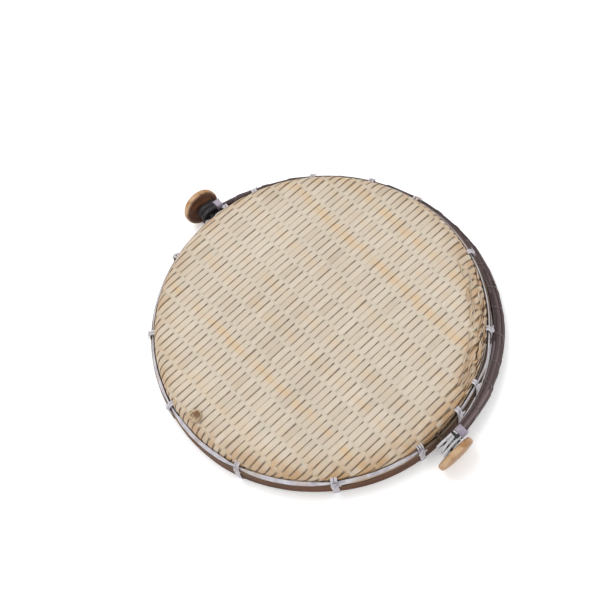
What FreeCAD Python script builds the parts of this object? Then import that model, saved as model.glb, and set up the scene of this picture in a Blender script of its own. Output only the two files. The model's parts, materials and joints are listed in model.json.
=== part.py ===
import FreeCAD, Part
import os, math
from FreeCAD import Vector, Rotation, Placement
import Sketcher

# Round shallow winnowing basket of woven bamboo, lying with its woven base up.
# +Z up, the rim stands on z = 0.  The two knobs are on the Y axis and the
# bail swings about that axis; it lies folded down on the +X side.

doc = FreeCAD.newDocument("WinnowingBasket")
sheet = doc.addObject("Spreadsheet::Sheet", "Dims")

dims = [
    ("frame_dx", -6.07),          # moves the basket so the whole box is centred
    ("tray_r", 180.0),           # outside radius of the woven skirt
    ("tray_low", 3.0),           # lower edge of the woven skirt
    ("tray_edge", 41.5),         # height of the woven base beside the shoulder
    ("tray_top", 43.0),          # height of the woven base at its centre
    ("tray_thick", 3.2),         # thickness of the weave
    ("shoulder_r", 13.0),        # radius of the shoulder
    ("in_hoop_ro", 176.5),       # inner hoop
    ("in_hoop_ri", 173.4),
    ("hoop_low", 0.9),
    ("in_hoop_top", 30.6),
    ("hoop_ri", 180.4),          # outer hoop, slightly flared
    ("hoop_ro", 184.8),
    ("hoop_flare", 0.4),
    ("hoop_top", 23.0),
    ("hoop_round", 0.7),
    ("long_mid", 5.2),           # long piece of the outer hoop, degrees
    ("long_span", 327.2),
    ("short_mid", 185.2),        # short piece that closes it
    ("short_span", 31.2),
    ("tape_ri", 180.35),         # flat cloth tape laid along the rim
    ("tape_low", 23.4),
    ("tape_top", 30.0),
    ("tape_out", 2.4),
    ("tape_thick", 1.1),
    ("tape_right_mid", 1.8),
    ("tape_right_span", 161.0),
    ("tape_left_mid", 181.2),
    ("tape_left_span", 163.0),
    ("lash_wide", 8.0),          # tape lashings around the rim
    ("lash_thick", 0.8),
    ("lash_ri", 172.2),
    ("lash_ro", 186.6),
    ("lash_top", 33.4),
    ("lash_shoulder", 182.2),
    ("knot_r", 2.4),
    ("knot_at", 185.2),
    ("knot_up", 27.0),
    ("peg_r", 2.0),              # pegs that carry the knobs and the bail
    ("peg_fit", 0.05),
    ("peg_len", 42.0),
    ("peg_head_r", 5.0),
    ("peg_head", 3.0),
    ("droop", 8.0),              # the pegs lean down outwards
    ("knob_y", 207.0),           # centre of each knob
    ("knob_z", 22.3),
    ("knob_r", 22.0),
    ("knob_thick", 8.5),
    ("knob_bore", 2.02),
    ("knob_dish", 0.8),
    ("knob_round", 2.6),
    ("bail_z", 23.85),           # height of the bail's hinge line
    ("bail_tilt", 5.38),         # slope of the folded bail down to the ground
    ("bail_ri", 189.4),
    ("bail_ro", 197.4),
    ("bail_half", 4.0),
    ("side_splint", 2.6),
    ("flat_splint", 1.3),
    ("bail_span", 172.6),
    ("eye_bore", 3.8),
    ("eye_near_r", 6.0),
    ("eye_far_r", 7.6),
    ("eye_in", 187.9),
    ("eye_out", 201.6),
    ("arm_in", 188.9),
    ("arm_out", 197.5),
    ("strap_thick", 1.5),
    ("strap_len", 27.0),
    ("thread", 0.7),
    ("thread_wide", 1.2),
    ("bead_r", 7.2),
    ("bead_tall", 6.0),
    ("bead_x", -167.5),
    ("bead_y", 1.0),
    ("bead_z", 41.95),
    ("bead_lean", 14.0),
    ("stem_r", 1.0),
]
for i, (name, value) in enumerate(dims):
    sheet.set("A%d" % (i + 1), name)
    sheet.set("B%d" % (i + 1), repr(value))
    sheet.setAlias("B%d" % (i + 1), name)
doc.recompute()


def v(name):
    return float(getattr(sheet, name))


class Size:
    # a length that carries both its value and the expression that drives it
    def __init__(self, value, text):
        self.value, self.text = float(value), text

    def join(self, other, sign, value):
        right = other.text if isinstance(other, Size) else repr(float(other))
        return Size(value, "(%s %s %s)" % (self.text, sign, right))

    def __add__(self, o):
        return self.join(o, "+", self.value + float(o))

    def __sub__(self, o):
        return self.join(o, "-", self.value - float(o))

    def __mul__(self, o):
        return self.join(o, "*", self.value * float(o))

    def __truediv__(self, o):
        return self.join(o, "/", self.value / float(o))

    def __neg__(self):
        return Size(-self.value, "(0 - %s)" % self.text)

    def __float__(self):
        return self.value


def d(name):
    return Size(v(name), "Dims." + name)


def bind(obj, prop, size):
    if isinstance(size, Size):
        obj.setExpression(prop, size.text)
    else:
        setattr(obj, prop, float(size))


def plane(body, role):
    for f in body.Origin.OriginFeatures:
        if f.Role == role:
            return f
    raise RuntimeError(role)


def sketch_on(body, name, role):
    sk = body.newObject("Sketcher::SketchObject", name)
    sk.AttachmentSupport = [(plane(body, role), "")]
    sk.MapMode = "FlatFace"
    return sk


def polygon(sk, points):
    # closed polygon; each corner is (x expression, y expression)
    vals = [(float(a), float(b)) for a, b in points]
    n = len(points)
    first = sk.GeometryCount
    for i in range(n):
        a, b = vals[i], vals[(i + 1) % n]
        sk.addGeometry(Part.LineSegment(Vector(a[0], a[1], 0), Vector(b[0], b[1], 0)), False)
    for i in range(n):
        sk.addConstraint(Sketcher.Constraint("Coincident", first + i, 2, first + (i + 1) % n, 1))
    for i in range(n):
        x, y = vals[i]
        for kind, ref, val, text in (("DistanceX", -2, x, points[i][0]), ("DistanceY", -1, y, points[i][1])):
            if abs(val) < 1e-9:
                sk.addConstraint(Sketcher.Constraint("PointOnObject", first + i, 1, ref))
            else:
                c = sk.addConstraint(Sketcher.Constraint(kind, -1, 1, first + i, 1, val))
                label = "p%d_%s" % (first + i, "x" if kind == "DistanceX" else "y")
                sk.renameConstraint(c, label)
                if isinstance(text, Size):
                    sk.setExpression("Constraints." + label, text.text)


def ring(name, points, span=None):
    # a profile in the X-Z plane turned about Z, half the span each side of +X
    body = doc.addObject("PartDesign::Body", name)
    sk = sketch_on(body, name + "_profile", "XZ_Plane")
    polygon(sk, points)
    rev = body.newObject("PartDesign::Revolution", name + "_turn")
    rev.Profile = sk
    rev.ReferenceAxis = (sk, ["V_Axis"])
    if span is None:
        rev.Angle = 360
    else:
        rev.Midplane = True
        bind(rev, "Angle", span)
    sk.Visibility = False
    doc.recompute()
    return body


def slab(name, outer, inner, wide):
    # a profile in the X-Z plane, with an opening, made wide along Y
    body = doc.addObject("PartDesign::Body", name)
    sk = sketch_on(body, name + "_profile", "XZ_Plane")
    polygon(sk, outer)
    if inner:
        polygon(sk, inner)
    pad = body.newObject("PartDesign::Pad", name + "_pad")
    pad.Profile = sk
    pad.Midplane = True
    bind(pad, "Length", wide)
    doc.recompute()
    return body


def fillet(body, pick, size):
    tip = body.Tip
    names = ["Edge%d" % (i + 1) for i, e in enumerate(tip.Shape.Edges) if pick(e)]
    f = body.newObject("PartDesign::Fillet", body.Name + "_round%d" % len(body.Group))
    f.Base = (tip, names)
    bind(f, "Radius", size)
    doc.recompute()
    return f


def circle_edge(radius, z, tol=0.02):
    def pick(e):
        c = e.Curve
        return (hasattr(c, "Radius") and abs(c.Radius - radius) < tol
                and abs(c.Center.z - z) < tol and abs(abs(c.Axis.z) - 1) < 1e-6)
    return pick


def turn_z(deg):
    return Placement(Vector(v("frame_dx"), 0, 0), Rotation(Vector(0, 0, 1), deg))


nodes = []


def done(obj, label):
    obj.Label = label
    nodes.append((obj, label))
    return obj


def boolean(kind, name, **kw):
    o = doc.addObject("Part::" + kind, name)
    for k, val in kw.items():
        setattr(o, k, val)
    return o


def box(name, **kw):
    o = doc.addObject("Part::Box", name)
    for k, text in kw.items():
        bind(o, k, text)
    return o


def cylinder(name, radius, height):
    o = doc.addObject("Part::Cylinder", name)
    bind(o, "Radius", radius)
    bind(o, "Height", height)
    return o


dx = v("frame_dx")
sin, cos = math.sin(math.radians(v("droop"))), math.cos(math.radians(v("droop")))
# unit vectors that point out along the near (-Y) and far (+Y) peg
out_near = Vector(0, -cos, -sin)
out_far = Vector(0, cos, -sin)
knob_near_at = Vector(dx, -v("knob_y"), v("knob_z"))
knob_far_at = Vector(dx, v("knob_y"), v("knob_z"))


def along(direction, at, offset):
    # local +Z along the peg, with the origin at the given distance from its knob's centre
    return Placement(at + direction * offset, Rotation(Vector(0, 0, 1), direction))


lash_angles = [169.2, -158.8, -126.8, -97.3, -79.8, -68.8, -48.8, -18.8, 10.2, 28.2, 50.2, 72.2, 84.2, 110.2, 141.2]

# ---- woven tray -------------------------------------------------------------
blank = ring("tray_blank", [(0, d("tray_low")), (d("tray_r"), d("tray_low")), (d("tray_r"), d("tray_edge")), (0, d("tray_top"))])
fillet(blank, lambda e: circle_edge(v("tray_r"), v("tray_edge"))(e), d("shoulder_r"))
hollow = ring("tray_hollow", [(0, d("tray_low") - 1), (d("tray_r") - d("tray_thick"), d("tray_low") - 1),
                              (d("tray_r") - d("tray_thick"), d("tray_edge") - d("tray_thick")), (0, d("tray_top") - d("tray_thick"))])
fillet(hollow, lambda e: circle_edge(v("tray_r") - v("tray_thick"), v("tray_edge") - v("tray_thick"))(e),
       d("shoulder_r") - d("tray_thick"))
blank.Placement = turn_z(0)
hollow.Placement = turn_z(0)
tools = [hollow]
for i, a in enumerate(lash_angles):
    b = box("slit_%02d" % (i + 1), Length=12, Width=d("lash_wide") + 1, Height=d("lash_thick") + 0.8)
    b.Placement = turn_z(a).multiply(Placement(Vector(172, -(v("lash_wide") + 1) / 2, v("lash_top") - v("lash_thick") - 0.4), Rotation()))
    tools.append(b)
for side, direction, at in (("near", out_near, knob_near_at), ("far", out_far, knob_far_at)):
    c = cylinder("tray_hole_" + side, d("peg_r") + 0.4, 30)
    c.Placement = along(direction, at, -45)
    tools.append(c)
c = cylinder("bead_hole", d("stem_r") + 0.3, 16)
bead_place = Placement(Vector(dx + v("bead_x"), v("bead_y"), v("bead_z")), Rotation(Vector(0, 1, 0), -v("bead_lean")))
c.Placement = bead_place.multiply(Placement(Vector(0, 0, -12), Rotation()))
tools.append(c)
cutters = boolean("MultiFuse", "tray_cutters", Shapes=tools)
tray = done(boolean("Cut", "woven_tray", Base=blank, Tool=cutters), "woven_tray")

# ---- hoops ------------------------------------------------------------------
hoop_blank = ring("inner_hoop_blank", [(d("in_hoop_ri"), d("hoop_low")), (d("in_hoop_ro"), d("hoop_low")),
                                       (d("in_hoop_ro"), d("in_hoop_top")), (d("in_hoop_ri"), d("in_hoop_top"))])
hoop_blank.Placement = turn_z(0)
bores = []
for side, direction, at in (("near", out_near, knob_near_at), ("far", out_far, knob_far_at)):
    c = cylinder("hoop_hole_" + side, d("peg_r") + d("peg_fit"), 30)
    c.Placement = along(direction, at, -48)
    bores.append(c)
done(boolean("Cut", "inner_hoop", Base=hoop_blank, Tool=boolean("MultiFuse", "hoop_bores", Shapes=bores)), "inner_hoop")

profile = [(d("hoop_ri") + d("hoop_flare"), d("hoop_low")), (d("hoop_ro") + d("hoop_flare"), d("hoop_low")),
           (d("hoop_ro"), d("hoop_top")), (d("hoop_ri"), d("hoop_top"))]
for which in ("long", "short"):
    b = ring("outer_hoop_" + which, profile, d(which + "_span"))
    keep = [v("hoop_ro"), v("hoop_ro") + v("hoop_flare"), v("hoop_ri"), v("hoop_ri") + v("hoop_flare")]
    fillet(b, lambda e: hasattr(e.Curve, "Radius") and any(abs(e.Curve.Radius - k) < 0.02 for k in keep)
           and e.Length > 20, d("hoop_round"))
    b.Placement = turn_z(v(which + "_mid"))
    done(b, "outer_hoop_" + which)

# ---- cloth tape along the rim -------------------------------------------------
for which in ("right", "left"):
    b = ring("rim_tape_" + which, [(d("tape_ri") + d("tape_out") - d("tape_thick"), d("tape_low")), (d("tape_ri") + d("tape_out"), d("tape_low")),
                                   (d("tape_ri") + d("tape_thick"), d("tape_top")), (d("tape_ri"), d("tape_top"))],
             d("tape_" + which + "_span"))
    b.Placement = turn_z(v("tape_" + which + "_mid"))
    done(b, "rim_tape_" + which)

# ---- lashings -----------------------------------------------------------------
lash_outer = [(d("lash_ri"), 0), (d("lash_ro"), 0), (d("lash_ro"), 1.6), (d("lash_ro") - 0.7, d("hoop_top") + 1),
              (d("lash_shoulder"), d("lash_top")), (d("lash_ri"), d("lash_top"))]
lash_inner = [(d("lash_ri") + d("lash_thick"), d("lash_thick")), (d("lash_ro") - d("lash_thick"), d("lash_thick")),
              (d("lash_ro") - d("lash_thick"), 1.6), (d("lash_ro") - 0.7 - d("lash_thick"), d("hoop_top") + 0.7),
              (d("lash_shoulder") - d("lash_thick") / 2, d("lash_top") - d("lash_thick")), (d("lash_ri") + d("lash_thick"), d("lash_top") - d("lash_thick"))]
loops = []
for i, a in enumerate(lash_angles):
    b = slab("lash_%02d" % (i + 1), lash_outer, lash_inner, d("lash_wide"))
    # the knot lies across the strap, a little wider than it
    kn = cylinder("knot_%02d" % (i + 1), d("knot_r"), d("lash_wide") + 0.8)
    kn.Placement = Placement(Vector(v("knot_at"), v("lash_wide") / 2 + 0.4, v("knot_up")), Rotation(Vector(1, 0, 0), 90))
    both = boolean("MultiFuse", "tie_%02d" % (i + 1), Shapes=[b, kn])
    both.Placement = turn_z(a)
    loops.append(both)
lashings = done(boolean("Compound", "rim_lashings", Links=loops), "rim_lashings")

# ---- pegs and knobs -------------------------------------------------------------
for side, direction, at in (("near", out_near, knob_near_at), ("far", out_far, knob_far_at)):
    p = ring("peg_" + side, [(0, 0), (d("peg_head_r"), 0), (d("peg_head_r"), d("peg_head")), (d("peg_r"), d("peg_head")),
                             (d("peg_r"), d("peg_len")), (0, d("peg_len"))])
    p.Placement = along(direction, at, -(v("peg_len") - 3.0))
    done(p, "peg_" + side)
    k = ring("knob_" + side, [(d("knob_bore"), -d("knob_thick") / 2 + d("knob_dish")), (d("knob_r") * 0.62, -d("knob_thick") / 2 + d("knob_dish")),
                              (d("knob_r") * 0.8, -d("knob_thick") / 2), (d("knob_r"), -d("knob_thick") / 2),
                              (d("knob_r"), d("knob_thick") / 2 - 1.6), (d("knob_r") * 0.6, d("knob_thick") / 2),
                              (d("knob_bore"), d("knob_thick") / 2)])
    fillet(k, lambda e: circle_edge(v("knob_r"), -v("knob_thick") / 2)(e) or circle_edge(v("knob_r"), v("knob_thick") / 2 - 1.6)(e),
           d("knob_round"))
    k.Placement = along(direction, at, 0)
    done(k, "knob_" + side)

# ---- bail -------------------------------------------------------------------------
bail_place = Placement(Vector(dx, 0, v("bail_z")), Rotation(Vector(0, 1, 0), v("bail_tilt")))
low, high = -d("bail_half") + d("flat_splint") + 0.1, d("bail_half") - d("flat_splint") - 0.1
strips = [
    ("bail_inner_splint", [(d("bail_ri"), low), (d("bail_ri") + d("side_splint"), low), (d("bail_ri") + d("side_splint"), high), (d("bail_ri"), high)]),
    ("bail_middle_splint", [(d("bail_ri") + d("side_splint") + 0.2, low), (d("bail_ro") - d("side_splint") - 0.2, low),
                            (d("bail_ro") - d("side_splint") - 0.2, high), (d("bail_ri") + d("side_splint") + 0.2, high)]),
    ("bail_outer_splint", [(d("bail_ro") - d("side_splint"), low), (d("bail_ro"), low), (d("bail_ro"), high), (d("bail_ro") - d("side_splint"), high)]),
    ("bail_upper_splint", [(d("bail_ri"), d("bail_half") - d("flat_splint")), (d("bail_ro"), d("bail_half") - d("flat_splint")),
                           (d("bail_ro"), d("bail_half")), (d("bail_ri"), d("bail_half"))]),
    ("bail_lower_splint", [(d("bail_ri"), -d("bail_half")), (d("bail_ro"), -d("bail_half")),
                           (d("bail_ro"), -d("bail_half") + d("flat_splint")), (d("bail_ri"), -d("bail_half") + d("flat_splint"))]),
]
for label, pts in strips:
    b = ring(label, pts, d("bail_span"))
    b.Placement = bail_place
    done(b, label)

o, h = d("bail_half") + d("thread") + 0.1, d("bail_half") + 0.1
wraps = []
for i in range(20):
    a = -77.5 + i * 155.0 / 19
    b = slab("wrap_%02d" % (i + 1),
             [(d("bail_ri") - d("thread") - 0.1, -o), (d("bail_ro") + d("thread") + 0.1, -o),
              (d("bail_ro") + d("thread") + 0.1, o), (d("bail_ri") - d("thread") - 0.1, o)],
             [(d("bail_ri") - 0.1, -h), (d("bail_ro") + 0.1, -h), (d("bail_ro") + 0.1, h), (d("bail_ri") - 0.1, h)],
             d("thread_wide"))
    b.Placement = bail_place.multiply(Placement(Vector(0, 0, 0), Rotation(Vector(0, 0, 1), a)))
    wraps.append(b)
done(boolean("Compound", "bail_binding", Links=wraps), "bail_binding")

# strap eyes: each strap is wound round its peg and folds over the bail's end
for side, sign, radius, wrap_at, wrap_long, wrap_in in (("near", -1, d("eye_near_r"), 15.5, 8.0, 187.8), ("far", 1, d("eye_far_r"), 12.7, 6.0, 188.35)):
    tube = cylinder("eye_tube_" + side, radius, d("eye_out") - d("eye_in"))
    tube.Placement = Placement(Vector(0, sign * v("eye_in"), 0), Rotation(Vector(0, 0, 1), Vector(0, sign, 0)))
    arm = box("eye_arm_" + side, Length=d("strap_len"), Width=d("arm_out") - d("arm_in"), Height=(d("bail_half") + d("strap_thick") + 0.05) * 2)
    arm.Placement = Placement(Vector(0, v("arm_in") if sign > 0 else -v("arm_out"), -(v("bail_half") + v("strap_thick") + 0.05)), Rotation())
    bore = cylinder("eye_bore_" + side, d("eye_bore"), 30)
    bore.Placement = Placement(Vector(0, sign * 180, 0), Rotation(Vector(0, 0, 1), Vector(0, sign, 0)))
    slot = box("eye_slot_" + side, Length=30, Width=30, Height=(d("bail_half") + 0.05) * 2)
    slot.Placement = Placement(Vector(10.2, sign * 196 - 15, -(v("bail_half") + 0.05)), Rotation())
    body = boolean("MultiFuse", "eye_body_" + side, Shapes=[tube, arm])
    cutb = boolean("MultiFuse", "eye_cut_" + side, Shapes=[bore, slot])
    eye = boolean("Cut", "bail_eye_" + side, Base=body, Tool=cutb)
    eye.Placement = bail_place
    done(eye, "bail_eye_" + side)
    # cloth wrap that ties the strap over the splints
    t = d("bail_half") + d("strap_thick") + 0.1
    tt = v("bail_half") + v("strap_thick") + 0.1
    inner_y, outer_y = wrap_in, v("arm_out") + 0.2
    outer = box("end_outer_" + side, Length=wrap_long, Width=outer_y - inner_y + 1.6, Height=(t + 0.9) * 2)
    inner = box("end_inner_" + side, Length=wrap_long + 2, Width=outer_y - inner_y, Height=t * 2)
    yc = sign * (inner_y + outer_y) / 2
    outer.Placement = Placement(Vector(wrap_at, yc - (outer_y - inner_y) / 2 - 0.8, -(tt + 0.9)), Rotation())
    inner.Placement = Placement(Vector(wrap_at - 1, yc - (outer_y - inner_y) / 2, -tt), Rotation())
    wrap = boolean("Cut", "bail_end_wrap_" + side, Base=outer, Tool=inner)
    wrap.Placement = bail_place
    done(wrap, "bail_end_wrap_" + side)

# ---- small knotted bead on the woven base ------------------------------------------
bead = ring("base_bead", [(0, -9), (d("stem_r"), -9), (d("stem_r"), 0), (d("bead_r"), 0), (d("bead_r"), d("bead_tall") * 0.35),
                          (d("bead_r") * 0.72, d("bead_tall") * 0.85), (d("bead_r") * 0.25, d("bead_tall")), (0, d("bead_tall"))])
bead.Placement = bead_place
done(bead, "base_bead")

doc.recompute()

bad = [o.Name + str(o.State) for o in doc.Objects if "Invalid" in o.State or "Error" in o.State]
if bad:
    raise RuntimeError("failed: " + ", ".join(bad))
os.makedirs("parts", exist_ok=True)
whole = None
for obj, label in nodes:
    s = obj.Shape
    if s.isNull() or not s.isValid() or not s.Solids:
        raise RuntimeError("bad shape " + label)
    b = s.BoundBox
    print("%-22s solids %2d vol %9.1f  x %.2f..%.2f y %.2f..%.2f z %.2f..%.2f" % (
        label, len(s.Solids), s.Volume, b.XMin, b.XMax, b.YMin, b.YMax, b.ZMin, b.ZMax))
    s.exportStep("parts/%s.step" % label)
    whole = b if whole is None else whole.united(b)
print("all x %.3f..%.3f y %.3f..%.3f z %.3f..%.3f" % (whole.XMin, whole.XMax, whole.YMin, whole.YMax, whole.ZMin, whole.ZMax))
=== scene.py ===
import bpy, math, json
import numpy as np
from mathutils import Vector, Matrix


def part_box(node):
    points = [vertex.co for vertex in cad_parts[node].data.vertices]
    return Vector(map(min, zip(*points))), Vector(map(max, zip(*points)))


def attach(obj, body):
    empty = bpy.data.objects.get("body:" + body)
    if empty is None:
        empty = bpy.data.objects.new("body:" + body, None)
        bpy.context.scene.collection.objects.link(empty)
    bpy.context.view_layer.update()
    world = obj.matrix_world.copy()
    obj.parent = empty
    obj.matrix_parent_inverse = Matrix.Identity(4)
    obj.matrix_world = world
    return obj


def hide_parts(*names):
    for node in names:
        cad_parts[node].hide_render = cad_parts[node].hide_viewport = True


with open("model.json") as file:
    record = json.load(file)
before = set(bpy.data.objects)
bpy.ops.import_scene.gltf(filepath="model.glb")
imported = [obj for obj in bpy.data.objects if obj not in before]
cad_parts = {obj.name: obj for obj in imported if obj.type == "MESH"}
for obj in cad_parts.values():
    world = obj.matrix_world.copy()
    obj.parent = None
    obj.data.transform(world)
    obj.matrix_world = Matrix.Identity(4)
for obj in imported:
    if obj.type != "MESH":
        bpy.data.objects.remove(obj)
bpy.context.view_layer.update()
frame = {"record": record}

lo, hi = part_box("woven_tray")
CX, CY, TOP = (lo[0] + hi[0]) / 2, (lo[1] + hi[1]) / 2, hi[2]
MM = 0.001
hinge = [j for j in frame["record"]["behaviour"]["joints"] if j["name"] == "bail_swing"][0]["pos_m"]
BAIL_Z = hinge[2]
TILT = math.radians(5.38)
DROOP = math.radians(8.0)
KNOB_Y, KNOB_Z = 207.0, 22.3
TURN = math.radians(1.2)
BEAD_Z, BEAD_LEAN = 41.95, 14.0
LASH = [169.2, -158.8, -126.8, -97.3, -79.8, -68.8, -48.8, -18.8, 10.2, 28.2, 50.2, 72.2, 84.2, 110.2, 141.2]

# ------------------------------------------------------------------ camera
az, el, dist, roll, foc = -0.53818 + TURN, 1.11013, 1.02743, -0.23624, 966.43
pan, nod = -16.70, 12.63
back = Vector((math.sin(az) * math.cos(el), -math.cos(az) * math.cos(el), math.sin(el)))
right = Vector((math.cos(az), math.sin(az), 0.0))
up = back.cross(right)
right, up = right * math.cos(roll) + up * math.sin(roll), up * math.cos(roll) - right * math.sin(roll)
side, top, fwd = right, up, -back
cam_data = bpy.data.cameras.new("camera")
cam_data.lens = foc / 600 * 36
cam_data.sensor_width = 36
cam_data.clip_start, cam_data.clip_end = 0.05, 20
cam_data.shift_x, cam_data.shift_y = pan / 600, nod / 600
cam = bpy.data.objects.new("camera", cam_data)
m = Matrix((side, top, -fwd)).transposed().to_4x4()
m.translation = Vector((CX, CY, TOP)) + back * dist
cam.matrix_world = m
bpy.context.collection.objects.link(cam)
bpy.context.scene.camera = cam
bpy.context.scene.view_settings.view_transform = "Standard"


# ------------------------------------------------------------------ helpers
ALBEDO = 0.9


def lin(rgb):
    out = []
    for c in rgb:
        c = c / 255
        out.append(ALBEDO * (c / 12.92 if c <= 0.04045 else ((c + 0.055) / 1.055) ** 2.4))
    return (*out, 1.0)


def P(x, y, z):
    # millimetres about the basket's own centre, to the row frame in metres
    return (CX + x * MM, CY + y * MM, z * MM)


def smooth(mesh):
    mesh.polygons.foreach_set("use_smooth", [True] * len(mesh.polygons))
    mesh.update()


class Soup:
    # collects closed tubes and ribbons as one mesh
    def __init__(self):
        self.v, self.f, self.n, self.attr = [], [], 0, {}

    def grid(self, pts, closed_path=False, cap=True, **attrs):
        # pts: n x k x 3, k points round each closed section
        n, k = pts.shape[:2]
        base = self.n
        idx = base + np.arange(n * k).reshape(n, k)
        self.v.append(pts.reshape(-1, 3))
        self.n += n * k
        rows = n if closed_path else n - 1
        a = idx[:rows]
        b = np.roll(idx, -1, axis=0)[:rows] if closed_path else idx[1:]
        q = np.stack([a, b, np.roll(b, -1, axis=1), np.roll(a, -1, axis=1)], -1).reshape(-1, 4)
        self.f.extend(q.tolist())
        if cap and not closed_path:
            self.f.append(idx[0].tolist())
            self.f.append(idx[-1][::-1].tolist())
        for key, val in attrs.items():
            self.attr.setdefault(key, []).append((base, np.broadcast_to(np.asarray(val, float), (n, k)).reshape(-1)))

    def build(self, name, body, slot=None, mat=None):
        mesh = bpy.data.meshes.new(name)
        verts = np.concatenate(self.v)
        mesh.from_pydata(verts.tolist(), [], self.f)
        for key, parts in self.attr.items():
            at = mesh.attributes.new(key, "FLOAT", "POINT")
            arr = np.zeros(len(verts))
            for base, val in parts:
                arr[base:base + len(val)] = val
            at.data.foreach_set("value", arr)
        smooth(mesh)
        o = bpy.data.objects.new(name, mesh)
        bpy.context.collection.objects.link(o)
        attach(o, body)
        if mat:
            mesh.materials.append(mat)
        import bmesh
        bm = bmesh.new(); bm.from_mesh(mesh)
        bmesh.ops.recalc_face_normals(bm, faces=bm.faces)
        bm.to_mesh(mesh); bm.free()
        return o


def frames_along(path, closed=False, up=(0, 0, 1)):
    path = np.asarray(path, float)
    if closed:
        t = np.roll(path, -1, 0) - np.roll(path, 1, 0)
    else:
        t = np.gradient(path, axis=0)
    t /= np.linalg.norm(t, axis=1)[:, None] + 1e-12
    up = np.broadcast_to(np.asarray(up, float), path.shape)
    s = np.cross(t, up)
    bad = np.linalg.norm(s, axis=1) < 1e-6
    s[bad] = np.array([1.0, 0, 0])
    s /= np.linalg.norm(s, axis=1)[:, None]
    n = np.cross(s, t)
    return t, s, n


def tube(soup, path, radius, closed=False, k=8, flat=1.0, up=(0, 0, 1), **attrs):
    # round or flattened tube along a path given in the row frame
    path = np.asarray(path, float)
    t, s, n = frames_along(path, closed, up)
    r = np.broadcast_to(np.asarray(radius, float), (len(path),))
    ang = np.linspace(0, 2 * math.pi, k, endpoint=False)
    pts = (path[:, None] + s[:, None] * (np.cos(ang)[None, :, None] * r[:, None, None])
           + n[:, None] * (np.sin(ang)[None, :, None] * r[:, None, None] * flat))
    soup.grid(pts, closed_path=closed, **attrs)


def ribbon(soup, path, across, out, wide, thick, closed=False, **attrs):
    # flat strip with rounded edges; across and out are unit vectors at each point
    path, across, out = (np.asarray(x, float) for x in (path, across, out))
    wide = np.broadcast_to(np.asarray(wide, float), (len(path),))
    thick = np.broadcast_to(np.asarray(thick, float), (len(path),))
    sec = np.array([(-1, 0), (-0.93, 0.72), (-0.5, 1), (0, 1.08), (0.5, 1), (0.93, 0.72), (1, 0),
                    (0.93, -0.72), (0.5, -1), (0, -1), (-0.5, -1), (-0.93, -0.72)])
    pts = (path[:, None] + across[:, None] * (sec[None, :, 0, None] * wide[:, None, None] / 2)
           + out[:, None] * (sec[None, :, 1, None] * thick[:, None, None] / 2))
    soup.grid(pts, closed_path=closed, cross=np.broadcast_to(sec[:, 0], (len(path), len(sec))), **attrs)


def wobble(rng, x, n=4, low=0.5, high=3.0):
    # smooth noise of about unit size
    out = np.zeros_like(x)
    for _ in range(n):
        out += np.sin(x * rng.uniform(low, high) + rng.uniform(0, 6.28)) * rng.uniform(0.5, 1)
    return out / n * 1.3


def chaikin(pts, times=2, closed=True):
    pts = np.asarray(pts, float)
    for _ in range(times):
        if closed:
            nxt = np.roll(pts, -1, 0)
            pts = np.stack([pts * 0.8 + nxt * 0.2, pts * 0.2 + nxt * 0.8], 1).reshape(-1, pts.shape[1])
        else:
            a, b = pts[:-1], pts[1:]
            mid = np.stack([a * 0.8 + b * 0.2, a * 0.2 + b * 0.8], 1).reshape(-1, pts.shape[1])
            pts = np.concatenate([pts[:1], mid, pts[-1:]])
    return pts


def resample(pts, step, closed=True):
    pts = np.asarray(pts, float)
    loop = np.concatenate([pts, pts[:1]]) if closed else pts
    d = np.concatenate([[0], np.cumsum(np.linalg.norm(np.diff(loop, axis=0), axis=1))])
    n = max(4, int(round(d[-1] / step)))
    s = np.linspace(0, d[-1], n, endpoint=not closed)
    return np.stack([np.interp(s, d, loop[:, i]) for i in range(loop.shape[1])], 1)


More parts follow.
